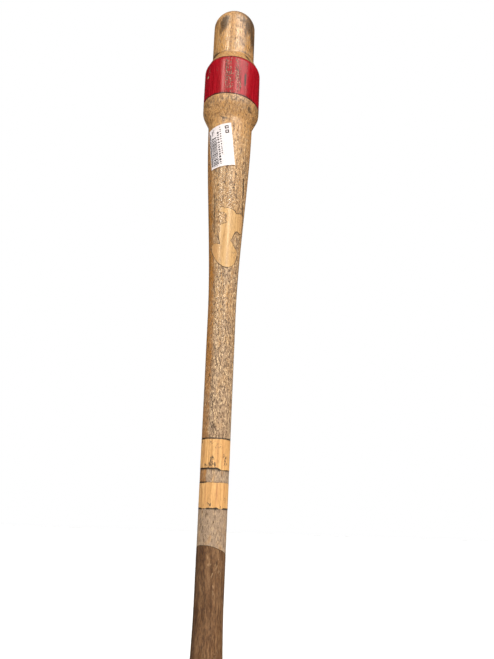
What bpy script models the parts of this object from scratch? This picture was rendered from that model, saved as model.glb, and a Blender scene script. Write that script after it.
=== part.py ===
"""A turned wooden bat: a domed nose, a wide collar with a red band, and a long handle.

The bat stands on its knob. Its axis is Z, and the origin is the middle of the knob's flat face.
Azimuth 0 is the -Y side, and azimuth grows towards +X.
"""

import math

import bmesh
import bpy

# ---- Driving dimensions, in metres and degrees ----

OVERALL_LENGTH = 0.8636

# Nose and collar. Lengths run down the axis from the tip.
NOSE_DIAMETER = 0.0530
NOSE_LENGTH = 0.0754
NOSE_DOME_HEIGHT = 0.0221
COLLAR_DIAMETER = 0.06985
COLLAR_LENGTH = 0.0613
UPPER_SHOULDER_LENGTH = 0.0177
LOWER_SHOULDER_LENGTH = 0.0166
CREASE_FILLET = 0.0020
COLLAR_TOP_FILLET = 0.0120
COLLAR_BOTTOM_FILLET = 0.0140
NECK_FILLET = 0.0110

# Neck, taper and handle.
NECK_DIAMETER = 0.0544
NECK_SLOPE = 0.012
TAPER_LENGTH = 0.2533
SHAFT_DIAMETER = 0.0319
WAIST_DIAMETER = 0.0302
WAIST_HEIGHT = 0.1348

# Knob. Heights run up from the flat face.
FLARE_DIAMETER = 0.0380
FLARE_HEIGHT = 0.0290
FLARE_POWER = 1.55
KNOB_DIAMETER = 0.0510
KNOB_FACE_DIAMETER = 0.0420
KNOB_TOP_HEIGHT = 0.0190
KNOB_EDGE_HEIGHT = 0.0060
KNOB_FILLET = 0.0040
KNOB_FACE_FILLET = 0.0015

# Thin skins on the wood, each in its own shallow recess.
SKIN_THICKNESS = 0.0004
SKIN_CLEARANCE = 0.0003
BAND_ABOVE_COLLAR_TOP = 0.0047
BAND_ABOVE_COLLAR_BOTTOM = 0.0091
UPPER_STRIP_HEIGHT = 0.2716
UPPER_STRIP_WIDTH = 0.0317
LOWER_STRIP_WIDTH = 0.0264
STRIP_SPACING = 0.0139
GRIP_COAT_HEIGHT = 0.1899
GRIP_COAT_SLANT = 21.4
GRIP_COAT_HIGH_SIDE = -31.3

# Label on the neck, and what is left of a clear decal on the taper.
LABEL_LENGTH = 0.0565
LABEL_WIDTH = 0.0320
LABEL_CORNER = 0.0015
LABEL_THICKNESS = 0.0003
LABEL_BELOW_NECK = 0.0402
LABEL_AZIMUTH = -25.2
LABEL_TILT = 7.3
DECAL_THICKNESS = 0.0003
DECAL_BELOW_NECK = 0.1570
DECAL_AZIMUTH = 0.0
# Outline of the torn decal about its middle: (along the girth, up the axis).
DECAL_OUTLINE = [
    (-0.0080, 0.0370),
    (0.0050, 0.0350),
    (0.0120, 0.0310),
    (0.0180, 0.0330),
    (0.0220, 0.0300),
    (0.0225, 0.0080),
    (0.0130, 0.0080),
    (0.0065, -0.0040),
    (0.0125, -0.0115),
    (0.0170, -0.0150),
    (0.0165, -0.0240),
    (0.0120, -0.0340),
    (0.0050, -0.0375),
    (-0.0020, -0.0365),
    (-0.0080, -0.0320),
    (-0.0140, -0.0245),
    (-0.0185, -0.0140),
    (-0.0160, -0.0080),
    (-0.0060, -0.0090),
    (-0.0085, 0.0030),
    (-0.0065, 0.0130),
    (0.0010, 0.0180),
    (0.0000, 0.0290),
    (-0.0080, 0.0310),
]

# ---- Fineness ----

TURNED_STEPS = 48
DOME_STEPS = 8
FILLET_STEPS = 4
TAPER_STEPS = 14
FLARE_STEPS = 7
SHEET_GIRTH_STEP = 0.003
SHEET_RISE_STEP = 0.009
MERGE_DISTANCE = 0.00001
SHARP_ANGLE = 30.0
CUTTER_MARGIN = 0.002

# ---- Heights worked out from the dimensions above ----

CREASE_Z = OVERALL_LENGTH - NOSE_LENGTH
COLLAR_TOP_Z = CREASE_Z - UPPER_SHOULDER_LENGTH
COLLAR_BOTTOM_Z = COLLAR_TOP_Z - COLLAR_LENGTH
NECK_Z = COLLAR_BOTTOM_Z - LOWER_SHOULDER_LENGTH
RECESS_DEPTH = SKIN_THICKNESS + SKIN_CLEARANCE


def clear_scene():
    for obj in list(bpy.data.objects):
        bpy.data.objects.remove(obj, do_unlink=True)


def new_collection(name):
    collection = bpy.data.collections.new(name)
    bpy.context.scene.collection.children.link(collection)
    return collection


def principled(name, colour, roughness):
    material = bpy.data.materials.new(name)
    material.use_nodes = True
    shader = material.node_tree.nodes["Principled BSDF"]
    shader.inputs["Base Color"].default_value = (*colour, 1.0)
    shader.inputs["Roughness"].default_value = roughness
    shader.inputs["Metallic"].default_value = 0.0
    return material


# ---- The turned outline: (radius, height) points from the tip down to the flat face ----


def rounded(corners):
    """Replaces each (radius, height, fillet) corner that has a fillet with an arc."""
    outline = []
    for index, (radius, height, fillet) in enumerate(corners):
        if fillet == 0:
            outline.append((radius, height))
            continue
        before, after = corners[index - 1], corners[index + 1]
        back = math.atan2(before[1] - height, before[0] - radius)
        ahead = math.atan2(after[1] - height, after[0] - radius)
        half = abs(math.remainder(ahead - back, math.tau)) / 2
        bisector = back + math.remainder(ahead - back, math.tau) / 2
        reach = fillet / math.sin(half)
        centre = (
            radius + reach * math.cos(bisector),
            height + reach * math.sin(bisector),
        )
        sweep = math.pi - 2 * half
        turn = math.copysign(1, math.remainder(ahead - back, math.tau))
        for step in range(FILLET_STEPS + 1):
            angle = bisector + math.pi + turn * sweep * (0.5 - step / FILLET_STEPS)
            outline.append(
                (
                    centre[0] + fillet * math.cos(angle),
                    centre[1] + fillet * math.sin(angle),
                )
            )
    return outline


def dome_points():
    """A quarter of an ellipse, from the tip to the nose's side."""
    points = []
    for step in range(DOME_STEPS + 1):
        angle = math.pi / 2 * (1 - step / DOME_STEPS)
        height = OVERALL_LENGTH - NOSE_DOME_HEIGHT * (1 - math.sin(angle))
        points.append((NOSE_DIAMETER / 2 * math.cos(angle), height, 0))
    points[0] = (0.0, OVERALL_LENGTH, 0)
    return points


def taper_points():
    """A cubic from the neck, which still narrows a little, to the shaft, which is straight."""
    points = []
    for step in range(1, TAPER_STEPS + 1):
        down = step / TAPER_STEPS
        up = 1 - down
        blend = up * up * (3 - 2 * up)
        radius = SHAFT_DIAMETER / 2 + (NECK_DIAMETER - SHAFT_DIAMETER) / 2 * blend
        radius -= NECK_SLOPE * TAPER_LENGTH * up * up * down
        points.append((radius, NECK_Z - TAPER_LENGTH * down, 0))
    return points


def flare_points():
    """The handle widens from its waist down to the top of the knob."""
    points = []
    for step in range(FLARE_STEPS + 1):
        down = step / FLARE_STEPS
        growth = (FLARE_DIAMETER - WAIST_DIAMETER) / 2 * down**FLARE_POWER
        height = WAIST_HEIGHT - (WAIST_HEIGHT - FLARE_HEIGHT) * down
        points.append((WAIST_DIAMETER / 2 + growth, height, 0))
    return points


def body_outline():
    corners = dome_points()
    corners += [
        (NOSE_DIAMETER / 2, CREASE_Z, CREASE_FILLET),
        (COLLAR_DIAMETER / 2, COLLAR_TOP_Z, COLLAR_TOP_FILLET),
        (COLLAR_DIAMETER / 2, COLLAR_BOTTOM_Z, COLLAR_BOTTOM_FILLET),
        (NECK_DIAMETER / 2, NECK_Z, NECK_FILLET),
    ]
    corners += taper_points()
    corners += flare_points()
    corners += [
        (KNOB_DIAMETER / 2, KNOB_TOP_HEIGHT, KNOB_FILLET),
        (KNOB_DIAMETER / 2, KNOB_EDGE_HEIGHT, KNOB_FILLET),
        (KNOB_FACE_DIAMETER / 2, 0, KNOB_FACE_FILLET),
        (0.0, 0.0, 0),
    ]
    return rounded(corners)


OUTLINE = body_outline()


def surface_radius(height):
    """The bat's outside radius at a height."""
    for (above_r, above_z), (below_r, below_z) in zip(OUTLINE, OUTLINE[1:]):
        if above_z >= height >= below_z and above_z > below_z:
            share = (above_z - height) / (above_z - below_z)
            return above_r + (below_r - above_r) * share
    raise ValueError("height is off the bat")


def surface_points(low, high, depth):
    """Points a depth under the bat's surface, from one height down to another."""
    heights = [high] + [z for _, z in OUTLINE if low < z < high] + [low]
    return [(surface_radius(z) - depth, z) for z in heights]


def sleeve_outline(low, high, outer_depth, inner_depth):
    """A closed ring outline that follows the bat's surface, between two depths under it."""
    outer = surface_points(low, high, outer_depth)
    inner = surface_points(low, high, inner_depth)
    return outer + inner[::-1]


def recessed(outline, low, high):
    """Sets an outline back where a skin goes, which leaves the clearance at both its ends."""
    low -= SKIN_CLEARANCE
    high += SKIN_CLEARANCE
    above = [point for point in outline if point[1] > high]
    below = [point for point in outline if point[1] < low]
    upper_lip = (surface_radius(high), high)
    lower_lip = (surface_radius(low), low)
    floor = surface_points(low, high, RECESS_DEPTH)
    return above + [upper_lip] + floor + [lower_lip] + below


# ---- Objects ----


def turned(name, outline, closed, collection):
    """A profile turned about Z with a Screw modifier."""
    mesh = bpy.data.meshes.new(name)
    points = [(radius, 0, height) for radius, height in outline]
    edges = [(i, i + 1) for i in range(len(points) - 1)]
    if closed:
        edges.append((len(points) - 1, 0))
    mesh.from_pydata(points, edges, [])
    obj = bpy.data.objects.new(name, mesh)
    collection.objects.link(obj)
    screw = obj.modifiers.new("Screw", "SCREW")
    screw.axis = "Z"
    screw.angle = math.tau
    screw.steps = TURNED_STEPS
    screw.render_steps = TURNED_STEPS
    screw.use_merge_vertices = True
    screw.merge_threshold = MERGE_DISTANCE
    return obj


def as_cutter(obj):
    obj.hide_render = True
    obj.display_type = "WIRE"
    return obj


def subtract(obj, cutter):
    boolean = obj.modifiers.new("Cut " + cutter.name, "BOOLEAN")
    boolean.operation = "DIFFERENCE"
    boolean.solver = "EXACT"
    boolean.object = cutter


def finish_round(obj, material):
    """Applies the modifiers, then shades the piece smooth up to its sharp edges."""
    graph = bpy.context.evaluated_depsgraph_get()
    mesh = bpy.data.meshes.new_from_object(obj.evaluated_get(graph))
    obj.modifiers.clear()
    obj.data = mesh
    mesh.shade_smooth()
    mesh.set_sharp_from_angle(angle=math.radians(SHARP_ANGLE))
    mesh.materials.clear()
    mesh.materials.append(material)


def skin(name, low, high, collection):
    return turned(
        name, sleeve_outline(low, high, 0, SKIN_THICKNESS), True, collection
    )


def slant_block(name, drop, collection):
    """A block that clears everything above the grip coat's slanted upper edge."""
    side = COLLAR_DIAMETER * 2
    mesh = bpy.data.meshes.new(name)
    cage = bmesh.new()
    bmesh.ops.create_cube(cage, size=side)
    bmesh.ops.translate(cage, verts=cage.verts, vec=(0, 0, side / 2))
    cage.to_mesh(mesh)
    cage.free()
    obj = bpy.data.objects.new(name, mesh)
    collection.objects.link(obj)
    obj.location = (0, 0, GRIP_COAT_HEIGHT - drop)
    # Tilted about Y alone, the edge is highest at azimuth -90.
    side_turn = math.radians(GRIP_COAT_HIGH_SIDE + 90)
    obj.rotation_euler = (0, math.radians(GRIP_COAT_SLANT), side_turn)
    return as_cutter(obj)


def flat_sheet(name, outline, thickness, collection):
    """A thin solid sheet in the XY plane: a filled 2D curve with an extrude."""
    curve = bpy.data.curves.new(name, "CURVE")
    curve.dimensions = "2D"
    curve.fill_mode = "BOTH"
    curve.extrude = thickness / 2
    spline = curve.splines.new("POLY")
    spline.points.add(len(outline) - 1)
    for point, (x, y) in zip(spline.points, outline):
        point.co = (x, y, 0, 1)
    spline.use_cyclic_u = True
    drawn = bpy.data.objects.new(name + "_outline", curve)
    collection.objects.link(drawn)
    graph = bpy.context.evaluated_depsgraph_get()
    mesh = bpy.data.meshes.new_from_object(drawn.evaluated_get(graph))
    bpy.data.objects.remove(drawn, do_unlink=True)
    obj = bpy.data.objects.new(name, mesh)
    mesh.name = name
    collection.objects.link(obj)
    return obj


def slice_sheet(cage, axis, spacing):
    """Cuts the sheet along evenly spaced lines, so that it can bend round the bat."""
    places = [vert.co[axis] for vert in cage.verts]
    low, high = min(places), max(places)
    count = max(1, round((high - low) / spacing))
    normal = [0, 0, 0]
    normal[axis] = 1
    for step in range(1, count):
        point = [0, 0, 0]
        point[axis] = low + (high - low) * step / count
        geometry = cage.verts[:] + cage.edges[:] + cage.faces[:]
        bmesh.ops.bisect_plane(cage, geom=geometry, plane_co=point, plane_no=normal)


def wrap_sheet(obj, thickness, middle_z, azimuth, tilt):
    """Bends a flat sheet round the bat, a clearance above its surface."""
    cage = bmesh.new()
    cage.from_mesh(obj.data)
    bmesh.ops.remove_doubles(cage, verts=cage.verts, dist=MERGE_DISTANCE)
    slice_sheet(cage, 0, SHEET_GIRTH_STEP)
    slice_sheet(cage, 1, SHEET_RISE_STEP)
    bmesh.ops.triangulate(cage, faces=cage.faces)
    girth_radius = surface_radius(middle_z)
    turn = math.radians(tilt)
    for vert in cage.verts:
        along = vert.co.x * math.cos(turn) - vert.co.y * math.sin(turn)
        up = vert.co.x * math.sin(turn) + vert.co.y * math.cos(turn)
        angle = math.radians(azimuth) + along / girth_radius
        height = middle_z + up
        radius = surface_radius(height) + SKIN_CLEARANCE + thickness / 2 + vert.co.z
        vert.co = (radius * math.sin(angle), -radius * math.cos(angle), height)
    cage.to_mesh(obj.data)
    cage.free()


def rounded_rectangle(width, length, corner):
    points = []
    for quarter, (side_x, side_y) in enumerate([(1, 1), (-1, 1), (-1, -1), (1, -1)]):
        centre_x = side_x * (width / 2 - corner)
        centre_y = side_y * (length / 2 - corner)
        for step in range(FILLET_STEPS + 1):
            angle = math.pi / 2 * (quarter + step / FILLET_STEPS)
            points.append(
                (
                    centre_x + corner * math.cos(angle),
                    centre_y + corner * math.sin(angle),
                )
            )
    return points


# ---- The pieces ----


def make_bat():
    clear_scene()
    parts = new_collection("collared_bat")
    cutters = new_collection("cutters")

    band_low = COLLAR_BOTTOM_Z + BAND_ABOVE_COLLAR_BOTTOM
    band_high = COLLAR_TOP_Z + BAND_ABOVE_COLLAR_TOP
    upper_low = UPPER_STRIP_HEIGHT
    upper_high = upper_low + UPPER_STRIP_WIDTH
    lower_high = upper_low - STRIP_SPACING
    lower_low = lower_high - LOWER_STRIP_WIDTH
    # The coat starts above the knob and is turned past its slanted edge, then trimmed.
    slant_rise = SHAFT_DIAMETER * math.tan(math.radians(GRIP_COAT_SLANT))
    coat_low = FLARE_HEIGHT
    coat_high = GRIP_COAT_HEIGHT + slant_rise

    outline = OUTLINE
    for low, high in [
        (band_low, band_high),
        (upper_low, upper_high),
        (lower_low, lower_high),
    ]:
        outline = recessed(outline, low, high)
    body = turned("bat_body", outline, False, parts)
    recess = sleeve_outline(
        coat_low - SKIN_CLEARANCE, coat_high, -CUTTER_MARGIN, RECESS_DEPTH
    )
    coat_recess = as_cutter(turned("grip_coat_recess", recess, True, cutters))
    subtract(coat_recess, slant_block("grip_recess_slant", 0, cutters))
    subtract(body, coat_recess)
    finish_round(body, principled("turned_wood", (0.50, 0.28, 0.11), 0.45))

    band = skin("red_band", band_low, band_high, parts)
    finish_round(band, principled("red_paint", (0.45, 0.01, 0.02), 0.35))
    clear_film = (0.75, 0.42, 0.16)
    for name, low, high in [
        ("upper_clear_strip", upper_low, upper_high),
        ("lower_clear_strip", lower_low, lower_high),
    ]:
        finish_round(
            skin(name, low, high, parts), principled(name + "_film", clear_film, 0.3)
        )
    coat = skin("grip_coat", coat_low, coat_high, parts)
    lift = SKIN_CLEARANCE / math.cos(math.radians(GRIP_COAT_SLANT))
    subtract(coat, slant_block("grip_coat_slant", lift, cutters))
    finish_round(coat, principled("dark_grip", (0.16, 0.08, 0.035), 0.55))

    label_outline = rounded_rectangle(LABEL_WIDTH, LABEL_LENGTH, LABEL_CORNER)
    label = flat_sheet("price_label", label_outline, LABEL_THICKNESS, parts)
    wrap_sheet(
        label, LABEL_THICKNESS, NECK_Z - LABEL_BELOW_NECK, LABEL_AZIMUTH, LABEL_TILT
    )
    finish_round(label, principled("label_paper", (0.88, 0.85, 0.86), 0.6))
    decal = flat_sheet("decal_film", DECAL_OUTLINE, DECAL_THICKNESS, parts)
    wrap_sheet(decal, DECAL_THICKNESS, NECK_Z - DECAL_BELOW_NECK, DECAL_AZIMUTH, 0)
    finish_round(decal, principled("decal_varnish", (0.78, 0.46, 0.19), 0.25))


make_bat()
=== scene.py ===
"""The looks of the turned bat: worn wood, painted band, clear strips, torn decal, label and dark grip.

Azimuth 0 is the -Y side, which faces the camera, and azimuth grows towards +X. Heights run up from
the knob's flat face. Angles are in degrees and lengths in metres unless a name says otherwise.
"""

import math

import bmesh
import bpy
import numpy as np
from mathutils import Matrix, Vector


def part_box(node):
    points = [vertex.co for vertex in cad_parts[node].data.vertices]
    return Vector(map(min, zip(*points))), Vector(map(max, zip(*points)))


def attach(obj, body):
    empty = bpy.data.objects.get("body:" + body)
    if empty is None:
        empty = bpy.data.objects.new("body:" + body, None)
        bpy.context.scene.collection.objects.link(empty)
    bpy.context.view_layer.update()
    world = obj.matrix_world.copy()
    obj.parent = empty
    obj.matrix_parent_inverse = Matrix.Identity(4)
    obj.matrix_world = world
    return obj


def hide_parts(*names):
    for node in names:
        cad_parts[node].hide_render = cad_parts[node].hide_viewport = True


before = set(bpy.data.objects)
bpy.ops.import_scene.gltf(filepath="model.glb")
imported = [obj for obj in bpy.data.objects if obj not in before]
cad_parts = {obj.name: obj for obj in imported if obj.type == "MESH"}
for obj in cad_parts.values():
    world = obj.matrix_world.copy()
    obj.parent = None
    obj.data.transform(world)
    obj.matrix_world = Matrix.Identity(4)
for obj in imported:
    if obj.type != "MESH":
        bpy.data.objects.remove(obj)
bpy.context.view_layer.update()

MM = 0.001

# ---- Camera and light ----

CAMERA_PLACE = (0.0, -0.7083, 0.2131)
CAMERA_YAW = -2.386
CAMERA_PITCH = 17.0
CAMERA_ROLL = 1.9
CAMERA_LENS_MM = 35.51
CAMERA_SENSOR_MM = 36.0
FLOOR_SIZE = 60.0
WORLD_LIGHT = 0.43
WORLD_IN_GLOSS = 0.02
WORLD_COLOUR = (1.0, 0.965, 0.915, 1.0)
WHITE = (1.0, 1.0, 1.0, 1.0)
SUN_ENERGY = 2.0
SUN_COLOUR = (1.0, 0.96, 0.9)
SUN_ANGLE = 35
TOP_FILL_ENERGY = 1.1
TOP_FILL_ANGLE = 60
LAMP_COLOUR = (1.0, 0.94, 0.8)
LAMP_HEIGHT = 1.5
LAMP_ELEVATION = 35
LAMP_DISTANCE = 1.6
SUN_DISTANCE = 3.0
SUN_TARGET = (0, 0, 0.4)
LAMP_TARGET = (0, 0, 0.6)
# name: azimuth, width, power. A soft one to light and a narrow one to draw a glint, on each side.
LAMPS = {
    "left_fill": (-36, 0.3, 9.0),
    "right_fill": (18, 0.3, 12.0),
    "left_glint": (-36, 0.04, 18.0),
    "right_glint": (18, 0.04, 24.0),
}

# ---- Mesh fineness ----

BODY_SEGMENTS = 144
BODY_ROW = 0.00115
HIDDEN_ROW_STEP = 6
HIDDEN_MARGIN = 0.007
SKIN_SEGMENTS = 240
SKIN_ROW = 0.0012
SKIN_EDGE_ROW = 0.00025
SKIN_EDGE_ZONE = 0.003
RING_VERTICES = 24

# ---- Skins ----

PAINT_LIFT = 0.00012
STRIP_LIFT = 0.0001
COAT_LIFT = 0.00008
FILM_LIFT = 0.0001
LABEL_LIFT = 0.00022
LABEL_LENGTH = 0.0565
LABEL_WIDTH = 0.032
LABEL_AZIMUTH = -25.2
LABEL_TILT = 7.3
LABEL_CELL = 0.00033
LABEL_THICKNESS = 0.0001
COAT_EDGE_RISE = 0.0062
COAT_HIGH_SIDE = -31.3
SLEEVE_INNER_STEP = 8
SKIN_SINK = 0.0004
FILM_GRID = 0.001
FILM_THICKNESS = 0.0002
DIRT_LIFT = 0.00004
DIRT_RADIUS = 0.00031
ROUND_SKINS = ("red_band", "upper_clear_strip", "lower_clear_strip", "grip_coat")

# Torn outline of the decal, in millimetres about its middle: (along the girth, up the axis).
DECAL_OUTLINE_MM = [
    (-4.3, 37.0), (-1.5, 35.3), (1.5, 36.2), (5.0, 35.2), (8.7, 33.6), (11.5, 30.6),
    (14.5, 31.4), (18.0, 33.0), (21.0, 31.0), (22.6, 24.0), (22.6, 15.5), (21.8, 9.0),
    (18.5, 7.2), (15.0, 8.8), (12.4, 7.8), (10.2, 4.0), (8.4, -1.2), (6.4, -4.2),
    (9.0, -7.0), (12.2, -11.2), (16.4, -14.8), (17.2, -19.0), (16.6, -24.0), (15.0, -29.2),
    (11.6, -34.0), (5.5, -37.2), (-1.6, -36.6), (-7.9, -31.9), (-13.9, -24.6), (-17.8, -17.2),
    (-18.3, -11.0), (-15.6, -7.9), (-10.5, -7.6), (-6.2, -8.8), (-7.6, -3.4), (-8.4, 2.9),
    (-6.5, 7.5), (-7.6, 12.7), (-4.6, 15.7), (1.0, 17.6), (-0.8, 21.0), (0.2, 26.2),
    (-2.2, 29.8), (-6.5, 30.8), (-8.8, 34.0), (-7.6, 36.6),
]


# ---- The turned outline, read from the frame ----


def node_points(node):
    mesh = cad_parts[node].data
    points = np.empty(len(mesh.vertices) * 3, np.float32)
    mesh.vertices.foreach_get("co", points)
    return points.reshape(-1, 3).astype(float)


def outline_knots():
    """(radius, height) of each turned ring of the outside, from the tip to the flat face."""
    widest = {}
    for node in ("bat_body", *ROUND_SKINS):
        points = node_points(node)
        heights = np.round(points[:, 2], 5)
        radii = np.hypot(points[:, 0], points[:, 1])
        for height in np.unique(heights):
            ring = radii[heights == height]
            if len(ring) >= RING_VERTICES:
                widest[height] = max(widest.get(height, 0.0), ring.max())
    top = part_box("bat_body")[1][2]
    knots = [(widest[z], z) for z in sorted(widest, reverse=True)]
    return np.array([(0.0, top)] + knots + [(0.0, 0.0)])


def spline_through(knots, spacing):
    """Catmull-Rom points through the knots, about a spacing apart."""
    ahead = 2 * knots[0] - knots[1]
    behind = 2 * knots[-1] - knots[-2]
    padded = np.vstack([ahead, knots, behind])
    found = []
    for p0, p1, p2, p3 in zip(padded, padded[1:], padded[2:], padded[3:]):
        chord = np.linalg.norm(p2 - p1)
        if chord == 0:
            continue
        before = max(np.linalg.norm(p1 - p0), 1e-9)
        after = max(np.linalg.norm(p3 - p2), 1e-9)
        start = (p2 - p0) / (before + chord) * chord
        end = (p3 - p1) / (chord + after) * chord
        count = max(1, math.ceil(chord / spacing))
        for step in range(count):
            t = step / count
            found.append(
                (2 * t**3 - 3 * t**2 + 1) * p1
                + (t**3 - 2 * t**2 + t) * start
                + (3 * t**2 - 2 * t**3) * p2
                + (t**3 - t**2) * end
            )
    found.append(knots[-1])
    return np.array(found)


OUTLINE = spline_through(outline_knots(), BODY_ROW)
SIDE = OUTLINE[OUTLINE[:, 1] > 1e-6][::-1]


def surface_radius(height):
    return np.interp(height, SIDE[:, 1], SIDE[:, 0])


def on_bat(azimuth, height, lift=0.0):
    """Points at azimuths in radians and heights, lifted off the turned surface."""
    radius = surface_radius(height) + lift
    return np.stack(
        [radius * np.sin(azimuth), -radius * np.cos(azimuth), height], axis=-1
    )


# ---- Noise for shapes and masks ----


def lattice(cell, seed):
    """A repeatable value from 0 to 1 for each whole-number cell."""
    mixed = cell[..., 0] * 374761393 + cell[..., 1] * 668265263
    mixed = mixed + cell[..., 2] * 2147483647 + seed * 1274126177
    mixed = (mixed ^ (mixed >> 13)) * 1103515245 & 0x7FFFFFFF
    mixed = (mixed ^ (mixed >> 16)) * 69069 & 0x7FFFFFFF
    return (mixed ^ (mixed >> 15)) / 0x7FFFFFFF


def smooth_noise(points, seed):
    base = np.floor(points).astype(np.int64)
    part = points - base
    part = part * part * (3 - 2 * part)
    total = 0.0
    for corner in np.ndindex(2, 2, 2):
        weight = 1.0
        for axis in range(3):
            share = part[..., axis]
            weight = weight * (share if corner[axis] else 1 - share)
        total = total + weight * lattice(base + np.array(corner), seed)
    return total


def fractal(points, per_metre, seed, octaves=3):
    """Noise from about 0 to 1; per_metre is its detail along x, y and z."""
    scaled = points * np.array(per_metre)
    total, weight = 0.0, 0.5
    for octave in range(octaves):
        total = total + weight * smooth_noise(scaled * 2**octave + 11.3, seed + octave)
        weight /= 2
    return total / (1 - 2.0**-octaves)


def ramp(value, low, high):
    share = np.clip((value - low) / (high - low), 0, 1)
    return share * share * (3 - 2 * share)


# ---- Marks placed by azimuth and height ----


def girth_offset(azimuth, height, to_azimuth):
    """Signed distance round the bat from an azimuth in degrees."""
    turn = azimuth - math.radians(to_azimuth)
    turn = (turn + math.pi) % math.tau - math.pi
    return turn * surface_radius(height)


def blob(azimuth, height, at, size, edge=0.5):
    """1 inside an oval mark at (azimuth, height), 0 outside. Sizes are half widths."""
    x = girth_offset(azimuth, height, at[0]) / size[0]
    z = (height - at[1]) / size[1]
    return 1 - ramp(np.hypot(x, z), 1 - edge, 1 + edge)


def stroke(azimuth, height, start, end, half_width):
    """1 along a line between two (azimuth, height) places, fading past its half width."""
    x = girth_offset(azimuth, height, start[0])
    z = height - start[1]
    middle = (start[1] + end[1]) / 2
    span_x = math.radians(end[0] - start[0]) * surface_radius(middle)
    span_z = end[1] - start[1]
    along = np.clip((x * span_x + z * span_z) / (span_x**2 + span_z**2), 0, 1)
    away = np.hypot(x - along * span_x, z - along * span_z)
    taper = np.sqrt(np.clip(4 * along * (1 - along), 0.05, 1))
    return 1 - ramp(away, 0.4 * half_width * taper, 1.5 * half_width * taper)


# Soft dark stains: (azimuth, height), (half width, half height), strength, softness.
STAINS = [
    ((-31, 0.8335), (0.0062, 0.0098), 1.15, 0.7),
    ((-24, 0.84), (0.0052, 0.0052), 0.9, 0.9),
    ((-42, 0.824), (0.0038, 0.007), 0.7, 0.9),
    ((46, 0.833), (0.008, 0.0125), 1.1, 0.7),
    ((27, 0.839), (0.0085, 0.008), 0.8, 0.9),
    ((54, 0.845), (0.011, 0.012), 1.1, 0.8),
    ((30, 0.85), (0.008, 0.005), 0.7, 0.9),
    ((33, 0.824), (0.003, 0.012), 0.75, 0.8),
    ((62, 0.822), (0.0062, 0.016), 1.15, 0.7),
    ((80, 0.815), (0.0052, 0.02), 1.0, 0.7),
    ((60, 0.802), (0.004, 0.006), 0.55, 0.8),
    ((-70, 0.842), (0.007, 0.006), 0.6, 0.9),
    ((8, 0.844), (0.007, 0.005), 0.4, 0.9),
    ((16, 0.83), (0.004, 0.009), 0.45, 0.9),
    ((-52, 0.838), (0.005, 0.012), 0.45, 0.9),
    ((-8, 0.809), (0.006, 0.0016), 0.4, 0.8),
    ((30, 0.812), (0.005, 0.01), 0.34, 0.9),
    ((8, 0.799), (0.005, 0.003), 0.3, 0.9),
    ((-11, 0.8177), (0.0018, 0.0016), 0.6, 0.6),
    ((14, 0.811), (0.0035, 0.0022), 0.35, 0.8),
    ((24, 0.8035), (0.0085, 0.009), 0.52, 0.7),
    ((52, 0.7985), (0.0024, 0.0035), 0.6, 0.6),
    ((-62, 0.793), (0.008, 0.0035), 0.45, 0.8),
    ((44, 0.7045), (0.0028, 0.0032), 0.95, 0.6),
    ((38, 0.707), (0.002, 0.002), 0.7, 0.6),
    ((52, 0.703), (0.0026, 0.0012), 0.75, 0.6),
    ((-55, 0.713), (0.016, 0.006), 0.52, 0.9),
    ((-20, 0.712), (0.011, 0.0045), 0.46, 0.9),
    ((8, 0.713), (0.012, 0.004), 0.5, 0.9),
    ((34, 0.712), (0.01, 0.0045), 0.46, 0.9),
    ((68, 0.711), (0.012, 0.007), 0.56, 0.9),
    ((-75, 0.702), (0.01, 0.008), 0.45, 0.9),
    ((78, 0.7), (0.01, 0.008), 0.45, 0.9),
    ((-18, 0.69), (0.0042, 0.0014), 0.75, 0.6),
    ((24, 0.6157), (0.001, 0.0022), 1.0, 0.5),
    ((-29, 0.6009), (0.0013, 0.0017), 0.9, 0.5),
    ((-18, 0.5943), (0.0011, 0.0014), 0.9, 0.5),
    ((17, 0.5977), (0.0015, 0.0014), 0.9, 0.5),
    ((20, 0.6019), (0.0013, 0.0013), 0.85, 0.5),
    ((46, 0.624), (0.0016, 0.006), 0.55, 0.6),
    ((-30, 0.611), (0.0012, 0.006), 0.45, 0.8),
    ((-36, 0.582), (0.001, 0.009), 0.65, 0.7),
    ((52, 0.66), (0.0016, 0.01), 0.35, 0.8),
    ((-9, 0.4558), (0.0011, 0.002), 0.85, 0.5),
    ((-2, 0.456), (0.0022, 0.001), 0.6, 0.5),
    ((-56, 0.4071), (0.001, 0.0026), 0.8, 0.5),
    ((-40, 0.3722), (0.0009, 0.0026), 0.9, 0.5),
    ((40, 0.3832), (0.001, 0.003), 0.8, 0.5),
    ((44, 0.415), (0.001, 0.0024), 0.7, 0.5),
    ((60, 0.418), (0.0009, 0.002), 0.6, 0.5),
    ((-22, 0.318), (0.003, 0.007), 0.4, 0.8),
    ((-6, 0.36), (0.0032, 0.006), 0.3, 0.8),
    ((-12, 0.311), (0.002, 0.005), 0.5, 0.8),
    ((140, 0.56), (0.004, 0.012), 0.45, 0.8),
    ((-150, 0.66), (0.005, 0.006), 0.5, 0.8),
    ((170, 0.7), (0.006, 0.004), 0.5, 0.8),
    ((-120, 0.43), (0.001, 0.003), 0.7, 0.6),
    ((110, 0.35), (0.0012, 0.004), 0.6, 0.6),
    ((175, 0.83), (0.008, 0.008), 0.5, 0.9),
    ((-100, 0.808), (0.003, 0.005), 0.45, 0.8),
]

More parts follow.
